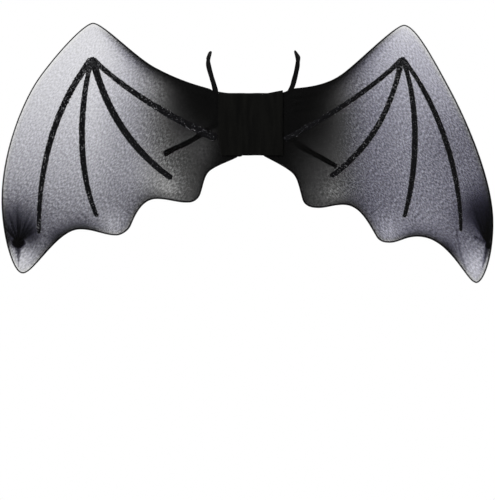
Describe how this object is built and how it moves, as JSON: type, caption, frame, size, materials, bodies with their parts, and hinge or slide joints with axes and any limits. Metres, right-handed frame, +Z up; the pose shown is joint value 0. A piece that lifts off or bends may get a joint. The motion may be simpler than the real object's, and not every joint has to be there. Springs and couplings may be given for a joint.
{
  "type": "costume bat wings",
  "caption": "Child's costume bat wings: sheer cloth over bent wire frames, glitter ribs, a centre patch and elastic shoulder loops.",
  "frame": {"origin": "middle of the centre patch's face that lies on the wearer's back", "axes": "+X to the right seen from behind the wearer, +Y forwards into the wearer's back, +Z up; the finished face of the wings looks along -Y"},
  "size_m": [0.7402, 0.1688, 0.3935],
  "materials": {
    "felt": "matt black felt",
    "wire": "black coated wire",
    "sheer_cloth": "sheer black stretch knit",
    "glitter": "black glitter",
    "elastic": "flat black elastic"
  },
  "bodies": {
    "root": {"centre_patch": "felt", "wire_frame_left": "wire", "wire_frame_right": "wire", "wing_membrane_left": "sheer_cloth", "wing_membrane_right": "sheer_cloth", "rib_arm_left": "glitter", "rib_finger_1_left": "glitter", "rib_finger_2_left": "glitter", "rib_finger_3_left": "glitter", "rib_arm_right": "glitter", "rib_finger_1_right": "glitter", "rib_finger_2_right": "glitter", "rib_finger_3_right": "glitter", "shoulder_strap_left": "elastic", "shoulder_strap_right": "elastic"}
  },
  "joints": []
}
